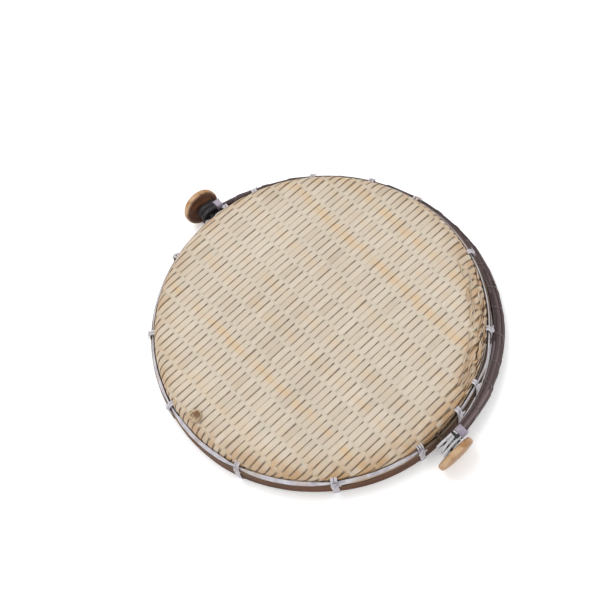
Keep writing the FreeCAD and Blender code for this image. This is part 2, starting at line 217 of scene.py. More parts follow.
# ------------------------------------------------------------------ materials
class Mat:
    def __init__(self, name, rough=0.6, spec=0.4, sheen=0.0):
        self.m = bpy.data.materials.new(name)
        self.m.use_nodes = True
        self.t = self.m.node_tree
        self.b = self.t.nodes["Principled BSDF"]
        self.b.inputs["Roughness"].default_value = rough
        self.b.inputs["Specular IOR Level"].default_value = spec
        if sheen:
            self.b.inputs["Sheen Weight"].default_value = sheen
            self.b.inputs["Sheen Roughness"].default_value = 0.5

    def node(self, kind, **kw):
        n = self.t.nodes.new(kind)
        for k, val in kw.items():
            setattr(n, k, val)
        return n

    def link(self, a, b):
        self.t.links.new(a, b)
        return b

    def put(self, socket, val):
        if isinstance(val, (int, float)):
            socket.default_value = val
        elif isinstance(val, tuple):
            socket.default_value = val
        else:
            self.t.links.new(val, socket)

    def math(self, op, a, b=None, c=None, clamp=False):
        n = self.node("ShaderNodeMath", operation=op, use_clamp=clamp)
        self.put(n.inputs[0], a)
        if b is not None:
            self.put(n.inputs[1], b)
        if c is not None:
            self.put(n.inputs[2], c)
        return n.outputs[0]

    def coords(self):
        return self.node("ShaderNodeTexCoord").outputs["Object"]

    def shift(self, vec, loc=(0, 0, 0), scale=(1, 1, 1), rot=(0, 0, 0)):
        # subtracts a place, then scales
        n = self.node("ShaderNodeMapping", vector_type="POINT")
        a = self.node("ShaderNodeVectorMath", operation="SUBTRACT")
        self.link(vec, a.inputs[0])
        a.inputs[1].default_value = loc
        self.link(a.outputs[0], n.inputs["Vector"])
        n.inputs["Rotation"].default_value = rot
        n.inputs["Scale"].default_value = scale
        return n.outputs[0]

    def noise(self, vec, scale=1.0, detail=3, rough=0.5, distort=0.0):
        n = self.node("ShaderNodeTexNoise")
        self.link(vec, n.inputs["Vector"])
        n.inputs["Scale"].default_value = scale
        n.inputs["Detail"].default_value = detail
        n.inputs["Roughness"].default_value = rough
        n.inputs["Distortion"].default_value = distort
        return n.outputs["Fac"]

    def ramp(self, fac, stops):
        n = self.node("ShaderNodeValToRGB")
        cr = n.color_ramp
        while len(cr.elements) < len(stops):
            cr.elements.new(0.5)
        for e, (p, col) in zip(cr.elements, stops):
            e.position, e.color = p, col
        self.link(fac, n.inputs[0])
        return n.outputs["Color"]

    def step(self, x, a, b):
        n = self.node("ShaderNodeMapRange", interpolation_type="SMOOTHSTEP")
        self.put(n.inputs["Value"], x)
        n.inputs["From Min"].default_value, n.inputs["From Max"].default_value = a, b
        return n.outputs["Result"]

    def mix(self, fac, a, b, mode="MIX"):
        n = self.node("ShaderNodeMix", data_type="RGBA", blend_type=mode)
        self.put(n.inputs[0], fac)
        self.put(n.inputs[6], a)
        self.put(n.inputs[7], b)
        return n.outputs[2]

    def attr(self, name):
        return self.node("ShaderNodeAttribute", attribute_name=name).outputs["Fac"]

    def join(self, x, y, z):
        n = self.node("ShaderNodeCombineXYZ")
        for i, q in enumerate((x, y, z)):
            self.put(n.inputs[i], q)
        return n.outputs[0]

    def split(self, vec):
        n = self.node("ShaderNodeSeparateXYZ")
        self.link(vec, n.inputs[0])
        return n.outputs

    def finish(self, color, height=None, strength=0.3, distance=0.0003, rough=None):
        self.put(self.b.inputs["Base Color"], color)
        if rough is not None:
            self.put(self.b.inputs["Roughness"], rough)
        if height is not None:
            n = self.node("ShaderNodeBump")
            n.inputs["Strength"].default_value = strength
            n.inputs["Distance"].default_value = distance
            self.link(height, n.inputs["Height"])
            self.link(n.outputs[0], self.b.inputs["Normal"])
        return self.m

    def round_coords(self, cx, cy):
        # metres along the rim, height, distance from the centre line
        x, y, z = self.split(self.shift(self.coords(), loc=(cx, cy, 0)))
        ang = self.math("ARCTAN2", y, x)
        r = self.math("SQRT", self.math("ADD", self.math("MULTIPLY", x, x), self.math("MULTIPLY", y, y)))
        return self.math("MULTIPLY", ang, 0.18), z, r


def bamboo():
    q = Mat("split_bamboo_weft", rough=0.55, spec=0.3)
    uu, tone, streak, rim, cross, fl, gap, full, tip = (q.attr(n) for n in ("uu", "tone", "streak", "rim", "cross", "flt", "gap", "full", "tip"))
    grain = q.noise(q.join(q.math("MULTIPLY", uu, 90.0), q.math("MULTIPLY", cross, 3.2), q.math("MULTIPLY", tone, 60.0)), 1.0, 5, 0.62)
    fibre = q.noise(q.join(q.math("MULTIPLY", uu, 22.0), q.math("MULTIPLY", cross, 9.0), q.math("MULTIPLY", tone, 91.0)), 1.0, 3, 0.55)
    wide = q.noise(q.shift(q.coords(), scale=(14, 9, 9)), 1.0, 3, 0.55)
    base = q.ramp(q.math("ADD", q.math("MULTIPLY", tone, 0.55), q.math("MULTIPLY", wide, 0.45)),
                  [(0.18, lin((194, 178, 158))), (0.42, lin((212, 197, 178))), (0.6, lin((220, 206, 187))), (0.85, lin((228, 216, 199)))])
    base = q.mix(q.math("MULTIPLY", q.step(fibre, 0.42, 0.75), 0.35), base, lin((190, 172, 150)))
    base = q.mix(q.math("MULTIPLY", q.step(grain, 0.5, 0.8), 0.45), base, lin((198, 184, 166)))
    # greyer and a little green where a strip dips between two floats
    base = q.mix(q.math("MULTIPLY", q.step(q.math("ABSOLUTE", fl), 0.75, 0.25), 0.28), base, lin((208, 201, 182)))
    # the bamboo's own nodes, lined up in bands of yellow
    band = q.math("MULTIPLY", streak, q.step(q.noise(q.join(q.math("MULTIPLY", tone, 37.0), q.math("MULTIPLY", uu, 30.0), 0.0), 1.0, 2), 0.3, 0.62), clamp=True)
    base = q.mix(q.math("MULTIPLY", band, 0.58), base, lin((222, 186, 136)))
    streaky = q.noise(q.join(q.math("MULTIPLY", tone, 83.0), q.math("MULTIPLY", uu, 34.0), 0.0), 1.0, 3)
    edge = q.math("MULTIPLY", rim, q.step(streaky, 0.3, 0.62), clamp=True)
    base = q.mix(q.math("MULTIPLY", edge, 0.85), base, lin((192, 150, 102)))
    # painted shade in the low places between floats
    base = q.mix(q.math("MULTIPLY", q.step(fl, -0.25, -0.75), 0.75), base, lin((112, 96, 78)))
    # painted shade along the sides of each full float, deeper near the rim, in random patches and at the float ends,
    # standing for the shadowed gaps between neighbouring floats; darker orange where it crosses a yellow node band
    side = q.math("MULTIPLY", q.step(q.math("ABSOLUTE", cross), 0.78, 1.0), q.step(full, 0.35, 0.95))
    patch = q.step(q.noise(q.join(q.math("MULTIPLY", uu, 160.0), q.math("MULTIPLY", tone, 53.0), 0.0), 1.0, 2), 0.3, 0.7)
    deep = q.math("ADD", q.math("ADD", 0.24, q.math("MULTIPLY", patch, 0.38)), q.math("ADD", q.math("MULTIPLY", tip, 0.42), q.math("MULTIPLY", rim, 0.25)), clamp=True)
    base = q.mix(q.math("MULTIPLY", side, deep), base, lin((84, 70, 55)))
    base = q.mix(q.math("MULTIPLY", q.math("MULTIPLY", side, band), 0.5), base, lin((164, 112, 60)))
    base = q.mix(q.math("MULTIPLY", q.math("MULTIPLY", side, tip), 0.8), base, lin((40, 31, 24)))
    # painted shade, dark brown, on the under-floats of the loose strips near the rim and on the dark frayed strips
    base = q.mix(q.math("MULTIPLY", gap, 0.8, clamp=True), base, lin((86, 56, 36)))
    # faint grey-green and pinkish patches
    cool = q.noise(q.shift(q.coords(), loc=(2, 5, 1), scale=(95, 130, 95)), 1.0, 3, 0.6)
    pink = q.noise(q.shift(q.coords(), loc=(7, 3, 4), scale=(120, 150, 120)), 1.0, 3, 0.6)
    base = q.mix(q.math("MULTIPLY", q.step(cool, 0.52, 0.72), 0.4), base, lin((194, 192, 170)))
    base = q.mix(q.math("MULTIPLY", q.step(pink, 0.54, 0.74), 0.3), base, lin((212, 188, 178)))
    h = q.math("ADD", q.math("MULTIPLY", grain, 0.6), q.math("MULTIPLY", fibre, 0.5))
    return q.finish(base, h, 0.3, 0.0003, rough=q.math("ADD", 0.45, q.math("MULTIPLY", grain, 0.25)))


def warp_mat():
    q = Mat("split_bamboo_warp", rough=0.6, spec=0.3)
    c = q.noise(q.shift(q.coords(), scale=(500, 40, 500)), 1.0, 4)
    return q.finish(q.ramp(c, [(0.3, lin((120, 98, 70))), (0.7, lin((168, 142, 106)))]), c, 0.3)


def hoop_mat(name, face_dark, face_light, edge_col, cx, cy, lap=None):
    q = Mat(name, rough=0.62, spec=0.12)
    along, z, r = q.round_coords(cx, cy)
    v = q.join(q.math("MULTIPLY", along, 14.0), q.math("MULTIPLY", z, 420.0), q.math("MULTIPLY", r, 420.0))
    streaks = q.noise(v, 1.0, 5, 0.62, 0.4)
    broad = q.noise(q.join(q.math("MULTIPLY", along, 30.0), q.math("MULTIPLY", z, 60.0), q.math("MULTIPLY", r, 60.0)), 1.0, 3)
    col = q.ramp(q.math("ADD", q.math("MULTIPLY", streaks, 0.7), q.math("MULTIPLY", broad, 0.3)),
                 [(0.32, lin(face_dark)), (0.52, lin(face_light)), (0.72, lin(tuple(min(255, c * 1.25) for c in face_light)))])
    nrm = q.node("ShaderNodeNewGeometry").outputs["True Normal"]
    upz = q.split(nrm)[2]
    edge = q.step(upz, 0.35, 0.85)
    e = q.ramp(streaks, [(0.3, lin(tuple(c * 0.78 for c in edge_col))), (0.65, lin(edge_col))])
    if lap:
        # pale top edge along the lap, with painted shadow as a dark slot under it; the top edge browner elsewhere
        turn = q.math("MULTIPLY", along, 1 / 0.18)
        pale = q.math("MULTIPLY", q.step(turn, -2.24, -2.16), q.step(turn, -1.66, -1.86))
        # a darker, browner copy of the top edge colour, used away from the lap
        darker_top_edge = q.ramp(streaks, [(0.3, lin(tuple(c * 0.46 for c in edge_col))), (0.65, lin(tuple(c * 0.68 for c in edge_col)))])
        e = q.mix(pale, darker_top_edge, e)
        # painted shadow: a dark slot on the hoop face under the lifted lap
        slot = q.math("MULTIPLY", q.math("MULTIPLY", q.step(z, lap - 0.0056, lap - 0.0046), q.step(z, lap - 0.0014, lap - 0.0022)),
                      q.math("MULTIPLY", q.step(turn, -2.22, -2.16), q.step(turn, -1.86, -2.04)))
        col = q.mix(q.math("MULTIPLY", slot, 0.85), col, lin((34, 24, 18)))
        # painted shade on the hoop's face towards the near peg, on the side away from the key light
        near = q.math("MULTIPLY", q.step(turn, -1.6, -1.35), q.step(turn, -0.5, -0.8))
        col = q.mix(q.math("MULTIPLY", near, 0.5), col, lin((58, 38, 30)))
    col = q.mix(edge, col, e)
    return q.finish(col, streaks, 0.45, 0.0004, rough=q.math("ADD", 0.48, q.math("MULTIPLY", streaks, 0.3)))


def cloth(name, light, dark, warm=None, scale=1.0):
    q = Mat(name, rough=0.85, spec=0.2, sheen=0.25)
    x, y, z = q.split(q.coords())
    a = q.math("SINE", q.math("MULTIPLY", q.math("ADD", q.math("ADD", x, y), q.math("MULTIPLY", z, 0.6)), 9500.0 * scale))
    b = q.math("SINE", q.math("MULTIPLY", q.math("SUBTRACT", q.math("SUBTRACT", x, y), q.math("MULTIPLY", z, 0.8)), 9500.0 * scale))
    threads = q.math("ADD", 0.5, q.math("MULTIPLY", q.math("MULTIPLY", a, b), 0.5))
    blot = q.noise(q.shift(q.coords(), scale=(110, 110, 110)), 1.0, 4, 0.6)
    col = q.ramp(blot, [(0.3, lin(dark)), (0.62, lin(light))])
    if warm:
        col = q.mix(q.math("MULTIPLY", q.step(q.noise(q.shift(q.coords(), loc=(3, 1, 2), scale=(38, 38, 38)), 1.0, 3), 0.48, 0.66), 0.6), col, lin(warm))
    col = q.mix(q.math("MULTIPLY", threads, 0.22), col, lin(tuple(c * 0.6 for c in dark)))
    return q.finish(col, q.math("ADD", threads, q.math("MULTIPLY", blot, 0.8)), 0.4, 0.0002)


def knob_mat(name, ysign):
    # turned wood; painted shade makes the side that faces the basket dark brown, and a painted highlight makes the rim
    # pale
    q = Mat(name, rough=0.42, spec=0.4)
    p = q.shift(q.coords(), loc=(CX, ysign * KNOB_Y * MM, KNOB_Z * MM))
    g = q.noise(q.shift(p, scale=(50, 520, 190)), 1.0, 5, 0.6, 1.2)
    soft = q.noise(q.shift(p, loc=(1, 2, 3), scale=(75, 75, 75)), 1.0, 4, 0.6)
    x, y, z = q.split(p)
    rad = q.math("SQRT", q.math("ADD", q.math("MULTIPLY", x, x), q.math("MULTIPLY", z, z)))
    f = q.math("ADD", q.math("MULTIPLY", g, 0.55), q.math("MULTIPLY", soft, 0.45))
    tan = q.ramp(f, [(0.30, lin((134, 92, 52))), (0.5, lin((176, 130, 82))), (0.72, lin((204, 164, 118)))])
    brown = q.ramp(f, [(0.30, lin((66, 42, 32))), (0.5, lin((100, 66, 48))), (0.72, lin((142, 96, 66)))])
    nrm = q.node("ShaderNodeNewGeometry").outputs["True Normal"]
    ny = q.math("MULTIPLY", q.split(nrm)[1], -ysign)
    # painted shade: the face turned towards the basket takes a dark brown copy of the wood colour
    inner = q.step(ny, 0.35, 0.9)
    col = q.mix(inner, tan, brown)
    # painted shade, lighter, on the outer face
    outer = q.step(q.math("MULTIPLY", ny, -1.0), 0.6, 0.97)
    col = q.mix(q.math("MULTIPLY", outer, 0.4), col, lin((140, 98, 64)))
    # painted highlight: pale patches on the rim
    rim_highlight = q.math("MULTIPLY", q.step(rad, 0.0185, 0.0222), q.step(soft, 0.35, 0.6))
    col = q.mix(q.math("MULTIPLY", rim_highlight, 0.5), col, lin((224, 196, 162)))
    return q.finish(col, f, 0.22, 0.0003, rough=q.math("ADD", 0.32, q.math("MULTIPLY", g, 0.3)))


def splint_mat():
    q = Mat("weathered_splints", rough=0.7, spec=0.25)
    along, tone, cross = q.attr("uu"), q.attr("tone"), q.attr("cross")
    g = q.noise(q.join(q.math("MULTIPLY", along, 45.0), q.math("MULTIPLY", cross, 4.0), q.math("MULTIPLY", tone, 70.0)), 1.0, 5, 0.65)
    spots = q.noise(q.join(q.math("MULTIPLY", along, 75.0), q.math("MULTIPLY", cross, 2.0), q.math("MULTIPLY", tone, 31.0)), 1.0, 3, 0.6)
    col = q.ramp(q.math("ADD", q.math("MULTIPLY", tone, 0.6), q.math("MULTIPLY", g, 0.4)),
                 [(0.15, lin((54, 42, 44))), (0.4, lin((84, 70, 72))), (0.6, lin((106, 90, 90))), (0.75, lin((122, 108, 112))), (0.92, lin((152, 132, 126)))])
    col = q.mix(q.math("MULTIPLY", q.step(spots, 0.58, 0.72), 0.6), col, lin((142, 112, 94)))
    return q.finish(col, g, 0.6, 0.0005, rough=q.math("ADD", 0.55, q.math("MULTIPLY", g, 0.3)))


def black_mat(name, tint=(30, 27, 29)):
    q = Mat(name, rough=0.5, spec=0.4)
    g = q.noise(q.shift(q.coords(), scale=(300, 900, 300)), 1.0, 4, 0.6)
    col = q.ramp(g, [(0.3, lin(tuple(c * 0.6 for c in tint))), (0.7, lin(tuple(c * 1.5 for c in tint)))])
    return q.finish(col, g, 0.5, 0.0004, rough=q.math("ADD", 0.35, q.math("MULTIPLY", g, 0.35)))


def cane_mat():
    q = Mat("knotted_cane", rough=0.5, spec=0.35)
    uu, cross = q.attr("uu"), q.attr("cross")
    g = q.noise(q.join(q.math("MULTIPLY", uu, 200.0), q.math("MULTIPLY", cross, 3.0), 0.0), 1.0, 4)
    col = q.ramp(g, [(0.3, lin((178, 152, 118))), (0.55, lin((206, 184, 152))), (0.8, lin((222, 204, 176)))])
    # painted shade along both edges of each strand, where the strands meet
    col = q.mix(q.math("MULTIPLY", q.math("POWER", q.math("ABSOLUTE", cross), 4.0), 0.45), col, lin((140, 104, 72)))
    # a worn brown spot low on one side
    p = q.shift(q.coords(), loc=(CX - 165.6 * MM, CY - 1.2 * MM, 47.4 * MM), scale=(1000, 1000, 1000))
    x, y, z = q.split(p)
    d = q.math("SQRT", q.math("ADD", q.math("MULTIPLY", x, x), q.math("ADD", q.math("MULTIPLY", y, y), q.math("MULTIPLY", z, z))))
    col = q.mix(q.math("MULTIPLY", q.step(d, 5.2, 2.4), 0.85), col, lin((118, 76, 48)))
    return q.finish(col, g, 0.4, 0.0003)


M_WEFT, M_WARP = bamboo(), warp_mat()
M_HOOP = hoop_mat("smoked_hoop", (58, 35, 24), (100, 66, 45), (210, 184, 156), CX, CY, lap=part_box("outer_hoop_long")[1][2])
M_INHOOP = hoop_mat("inner_hoop_bamboo", (120, 94, 62), (168, 138, 98), (190, 160, 118), CX, CY)
M_TAPE = cloth("rim_cloth_tape", (226, 224, 230), (182, 174, 184), warm=(204, 184, 168))
M_LILAC = cloth("lilac_cloth_tape", (192, 182, 198), (144, 132, 148), warm=(176, 160, 156))
M_WHITE = cloth("frayed_white_tape", (236, 236, 238), (204, 204, 208), scale=1.6)
M_THREAD = cloth("binding_thread", (150, 136, 140), (108, 94, 98), scale=1.8)
M_SPLINT, M_CANE = splint_mat(), cane_mat()
M_PEG, M_STRAP = black_mat("black_peg"), black_mat("black_wound_strap", (36, 33, 36))


def give(node, mat):
    o = bpy.data.objects[node]
    if not o.material_slots:
        o.data.materials.append(mat)
    for s in o.material_slots:
        s.material = mat


give("inner_hoop", M_INHOOP)
give("knob_near", knob_mat("knob_wood_near", -1)); give("knob_far", knob_mat("knob_wood_far", 1))
give("peg_near", black_mat("dark_brown_peg", (62, 46, 36))); give("peg_far", M_PEG)

# ------------------------------------------------------------------ weave
FLAT, ARC = 167.0, 11.4
RM = FLAT + ARC
ZC = 28.6
PITCH, COLUMN = 3.93, 24.45
HALF = ARC * math.pi / 2


def dome(u, v, h):
    rho = np.hypot(u, v) + 1e-9
    cu, cv = u / rho, v / rho
    t = np.clip((rho - FLAT) / ARC, 0, math.pi / 2)
    down = np.maximum(rho - FLAT - HALF, 0)
    r = np.where(rho < FLAT, rho, FLAT + ARC * np.sin(t))
    z = np.where(rho < FLAT, ZC + ARC + 1.3 * (1 - (rho / FLAT) ** 2), ZC + ARC * np.cos(t)) - down
    slope = np.where(rho < FLAT, 2 * 1.3 * rho / FLAT ** 2, 0)
    nr = np.where(rho < FLAT, slope, np.sin(t))
    nz = np.where(rho < FLAT, 1.0, np.cos(t))
    r = r + h * nr
    z = z + h * nz
    ct, st = math.cos(TURN), math.sin(TURN)
    return np.stack([CX + r * (cu * ct - cv * st) * MM, CY + r * (cu * st + cv * ct) * MM, z * MM], -1), rho


SEC = np.array([(-1, 0.0), (-0.93, 0.62), (-0.5, 0.94), (0, 1.0), (0.5, 0.94), (0.93, 0.62), (1, 0.0),
                (0.93, -0.62), (0.5, -0.94), (0, -1.0), (-0.5, -0.94), (-0.93, -0.62)])
# columns of strips whose own nodes line up: place at the middle, width, strength, drift along Y
STREAKS = [(-85, 4.2, 1.0, -0.012), (-38, 4.2, 0.55, 0.0), (-10, 3.8, 0.5, 0.0), (40, 4.0, 0.45, 0.0), (86, 5.0, 1.0, 0.036),
           (136, 5.5, 0.9, 0.03), (-114, 4.2, 0.35, 0.0), (112, 3.6, 0.35, 0.03), (-142, 6, 0.5, 0.0)]
START = -11.3


def ease(x, a, b):
    t = np.clip((x - a) / (b - a), 0, 1)
    return t * t * (3 - 2 * t)


def weave():
    rng = np.random.default_rng(4)
    s = Soup()
    rho_max = FLAT + HALF + 22.0
    n_max = int((rho_max - 3) / PITCH)
    near = np.array([0, 0.7, 1.3, 1.9, 2.6, 3.6, 6.0, 9.0])
    knots = np.concatenate([near, COLUMN / 2 + np.array([0.0]), COLUMN - near[:0:-1]])
    for n in range(-n_max, n_max + 1):
        v0 = n * PITCH + rng.normal(0, 0.10)
        end = math.sqrt(max(rho_max ** 2 - v0 ** 2, 0))
        if end < 20:
            continue
        jit = np.random.default_rng(1200 + n)
        per = jit.normal(0, 1, 64)
        slide = 0.7 * per[50]
        # crossings sit half a column from each column's middle
        k0 = int(np.floor((-end - START) / COLUMN)) - 1
        k1 = int(np.ceil((end - START) / COLUMN)) + 1
        u = np.concatenate([START + (k + 0.5) * COLUMN + slide + knots for k in range(k0, k1)])
        u = u[(u > -end) & (u < end)]
        phase = math.pi * ((u - START - slide) / COLUMN + n)
        c = np.cos(phase)
        flt = np.sign(c) * np.abs(c) ** 0.6
        rho = np.hypot(u, v0)
        rimness = np.clip((rho - 152) / 24, 0, 1)
        ang = np.arctan2(v0, u)
        loose = rimness * np.clip(1.15 - np.abs((ang + 0.95) / 0.7), 0, 1)
        h = 0.46 * flt * (1 + rng.normal(0, 0.03)) + 0.14
        full = ease(np.abs(c), 0.10, 0.24)
        floatno = np.floor((u - START - slide) / COLUMN + 0.5).astype(int)
        wide = 5.1 + (2.48 + 0.10 * per[floatno % 64]) * full
        wide = wide * (1 - 0.13 * rimness - 0.20 * loose)
        shift = 0.55 * np.sin(u / 47.0 + v0 / 90.0 + 0.8) + 0.20 * wobble(rng, u / 20.0) + (0.16 * per[(floatno + 13) % 64]) * full + loose * 1.2 * wobble(rng, u / 9.0)
        thick = 0.30 * (1 + 0.06 * per[(floatno + 29) % 64])
        vv = v0 + shift
        U = np.repeat(u[:, None], len(SEC), 1)
        V = vv[:, None] + SEC[None, :, 0] * wide[:, None] / 2
        # each float is a little crowned, and leans as it dives under its neighbour
        lean = 0.06 * np.sin(phase)[:, None] * SEC[None, :, 0] + 0.06 * per[(floatno + 7) % 64][:, None] * full[:, None] * SEC[None, :, 0]
        crown = -0.10 * full[:, None] * SEC[None, :, 0] ** 2
        Hh = h[:, None] + SEC[None, :, 1] * thick[:, None] + lean + crown
        pts, _ = dome(U, V, Hh)
        tone = 0.5 + 0.09 * per[(floatno + 41) % 64] + 0.07 * per[60]
        st = np.zeros_like(u)
        for x0, w, k, drift in STREAKS:
            xx = x0 + drift * v0 + jit.normal(0, 0.9)
            st = np.maximum(st, k * np.exp(-np.abs((u - xx) / w) ** 3))
        s.grid(pts, uu=(u * MM + n * 0.37)[:, None], tone=np.clip(tone, 0, 1)[:, None], streak=st[:, None],
               rim=(np.clip((rho - 146) / 32, 0, 1) ** 1.7 * (0.75 + 0.25 * ease(-np.sin(ang), -0.4, 0.6)) + 0.35 * loose)[:, None], cross=SEC[None, :, 0], flt=flt[:, None],
               # gap: strength of the painted shade on the loose under-floats
               gap=(loose * np.clip(-flt * 1.3 + 0.1, 0, 1))[:, None], full=full[:, None],
               tip=(full * ease(np.sin(phase) * np.sign(c), 0.6, 0.92))[:, None])
    o = s.build("woven_wefts", "basket", "bamboo_weave", M_WEFT)
    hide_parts("woven_tray")
    w = Soup()
    for j in range(-8, 9):
        u0 = START + j * COLUMN
        if abs(u0) > rho_max - 6:
            continue
        end = math.sqrt(max(rho_max ** 2 - u0 ** 2, 0)) - 2
        if end < 30:
            continue
        v = np.linspace(-end, end, int(end / 2.5))
        U = u0 + np.array([-1, -0.9, 0, 0.9, 1, 0.9, 0, -0.9])[None, :] * 3.1 + 0.3 * wobble(rng, v / 30.0)[:, None]
        Hh = np.array([0, 0.12, 0.15, 0.12, 0, -0.12, -0.15, -0.12])[None, :] + 0.14 + 0 * v[:, None]
        pts, _ = dome(U, np.repeat(v[:, None], 8, 1), Hh)
        w.grid(pts)
    w.build("woven_warps", "basket", "bamboo_weave", M_WARP)


weave()


def frayed():
    # loose and broken strip ends lying along the rim beside the near peg
    rng = np.random.default_rng(91)
    s = Soup()
    for k in range(76):
        a = rng.uniform(-80, -26) if k % 2 else rng.uniform(-72, -40)
        r0 = rng.uniform(160, 178.5) if k % 3 else rng.uniform(172, 180)
        length = rng.uniform(7, 24)
        b = math.radians(a + 90) - rng.uniform(-0.05, 0.35) * (1 if a > -55 else 0.6)
        n = 14
        t = np.linspace(-0.5, 0.5, n) * length
        u = r0 * math.cos(math.radians(a)) + t * math.cos(b)
        v = r0 * math.sin(math.radians(a)) + t * math.sin(b)
        # every third strip is a narrow dark strip of painted shade, standing for the dark gaps among the broken ends
        dark = k % 3 == 0
        h0 = 0.85 if dark else rng.uniform(0.95, 1.5)
        h = h0 + (0 if dark else 0.5 * np.clip(np.abs(t) / length * 2 - 0.6, 0, 1) * rng.uniform(-0.4, 1.2))
        path, rho = dome(u, v, h + 0 * t)
        if rho.max() > 187:
            continue
        up_, _ = dome(u, v, h + 1.0)
        out = up_ - path; out /= np.linalg.norm(out, axis=1)[:, None]
        tt = np.gradient(path, axis=0); tt /= np.linalg.norm(tt, axis=1)[:, None]
        across = np.cross(tt, out)
        taper = np.clip(1.15 - np.abs(t) / length * 1.5, 0.25, 1)
        wide = (rng.uniform(0.7, 1.6) if dark else rng.uniform(1.2, 3.0)) * taper
        ribbon(s, path, across, out, wide * MM, 0.34 * MM, uu=(t * MM + k)[:, None], tone=rng.uniform(0.2, 0.9), streak=0.0,
               rim=rng.uniform(0.7, 1.0), flt=1.0, gap=1.25 if dark else rng.uniform(0, 0.75) ** 2, full=1.0, tip=0.0)
    s.build("frayed_strip_ends", "basket", "bamboo_weave", M_WEFT)


frayed()


# ------------------------------------------------------------------ outer hoop
def hoop_in(deg):
    # how far the worn hoop stands in from its full radius, and up from its lower edge
    g = (np.asarray(deg, float) + 180) % 360 - 180
    dr = np.interp(g, [-180, -165, -150, -135, -120, -105, -97, -80, -68, -50, -20, 180], [0, 0, 0.8, 1.5, 1.2, 0.9, 0.8, 1.5, 1.3, 0.5, 0, 0])
    up_ = np.interp(g, [-180, -160, -145, -129, -124, -100, -70, -50, 180], [0, 0, 2.2, 2.6, 0.6, 0.2, 0.9, 0, 0])
    return dr, up_


def outer_hoop(which, mid, span, seed):
    rng = np.random.default_rng(seed)
    s = Soup()
    deg = np.arange(mid - span / 2, mid + span / 2 + 0.01, 0.6)
    th = np.radians(deg)
    dr, up_ = hoop_in(deg)
    t = 4.4 - dr
    z0, z1 = 0.9 + up_ + 0.12 * wobble(rng, th * 6), 22.9 + 0.16 * wobble(rng, th * 5)
    # notches where the pegs cross the top edge
    for side_ in (-90, 90):
        z1 = z1 - 1.5 * np.exp(-((deg - side_) / 1.9) ** 4)
    sec_r, sec_z = [], []
    for fz, inset in ((0.0, 0.55), (0.03, 0.05), (0.2, 0.0), (0.38, 0.14), (0.42, 0.16), (0.6, 0.0), (0.74, 0.1), (0.78, 0.08), (0.94, 0.0)):
        sec_r.append(t - inset + 0.10 * wobble(rng, th * 11))
        sec_z.append(z0 + fz * (z1 - z0))
    sec_r.append(t - 0.12); sec_z.append(z1 - 0.45)
    sec_r.append(t - 0.6); sec_z.append(z1)
    sec_r.append(t * 0.5); sec_z.append(z1 + 0.12 + 0.05 * wobble(rng, th * 17))
    sec_r.append(0 * t + 0.5); sec_z.append(z1)
    sec_r.append(0 * t); sec_z.append(z1 - 0.5)
    sec_r.append(0 * t); sec_z.append(z0 + 0.4)
    sec_r.append(0 * t + 0.4); sec_z.append(z0)
    R, Z = np.stack(sec_r, 1), np.stack(sec_z, 1)
    R = 180.4 + R + 0.4 * (1 - (Z - 0.9) / 22.1)
    pts = np.stack([CX + R * np.cos(th)[:, None] * MM, CY + R * np.sin(th)[:, None] * MM, Z * MM], -1)
    s.grid(pts)
    o = s.build("outer_hoop_%s_split" % which, "basket", "hoop_wood", M_HOOP)
    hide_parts("outer_hoop_" + which)


outer_hoop("long", 5.2, 327.2, 301)
outer_hoop("short", 185.2, 31.2, 302)


def lap():
    # a pale split end lifting off the hoop's top edge beside one lashing, with a torn bit of tape
    s = Soup()
    deg = np.arange(-125.8, -103.0, 0.5)
    th = np.radians(deg)
    f = (deg - deg[0]) / (deg[-1] - deg[0])
    dr, _ = hoop_in(deg)
    r = 183.7 - dr + 0.7 * np.exp(-((f - 0.25) / 0.25) ** 2)
    z = 23.6 + 1.1 * np.clip(0.35 - f, 0, 1) - 0.4 * f
    path = np.stack([CX + r * np.cos(th) * MM, CY + r * np.sin(th) * MM, z * MM], 1)
    rad = np.stack([np.cos(th), np.sin(th), 0 * th], 1)
    zz = np.array([0, 0, 1.0])
    out = rad * 0.35 + zz * 0.94
    across = rad * 0.94 - zz * 0.35
    ribbon(s, path, across, out, (0.8 + 1.5 * np.sin(np.pi * np.clip(f * 0.93 + 0.05, 0, 1))) * MM, 0.8 * MM)
    s.build("outer_hoop_lifted_split", "basket", "hoop_wood", hoop_mat("pale_split", (150, 116, 88), (204, 176, 146), (214, 188, 160), CX, CY))
    s = Soup()
    deg = np.arange(-126.0, -118.5, 0.5)
    th = np.radians(deg)
    f = (deg - deg[0]) / (deg[-1] - deg[0])
    r = 183.4 - 0.9 * f
    path = np.stack([CX + r * np.cos(th) * MM, CY + r * np.sin(th) * MM, (25.3 - 0.6 * f) * MM], 1)
    rad = np.stack([np.cos(th), np.sin(th), 0 * th], 1)
    out = rad * 0.5 + zz * 0.87
    across = rad * 0.87 - zz * 0.5
    ribbon(s, path, across, out, (3.4 - 2.7 * f) * MM, 0.5 * MM, uu=(th * 0.18)[:, None], tone=0.5)
    s.build("rim_tape_torn_bit", "basket", "cloth_tape", M_WHITE)


lap()


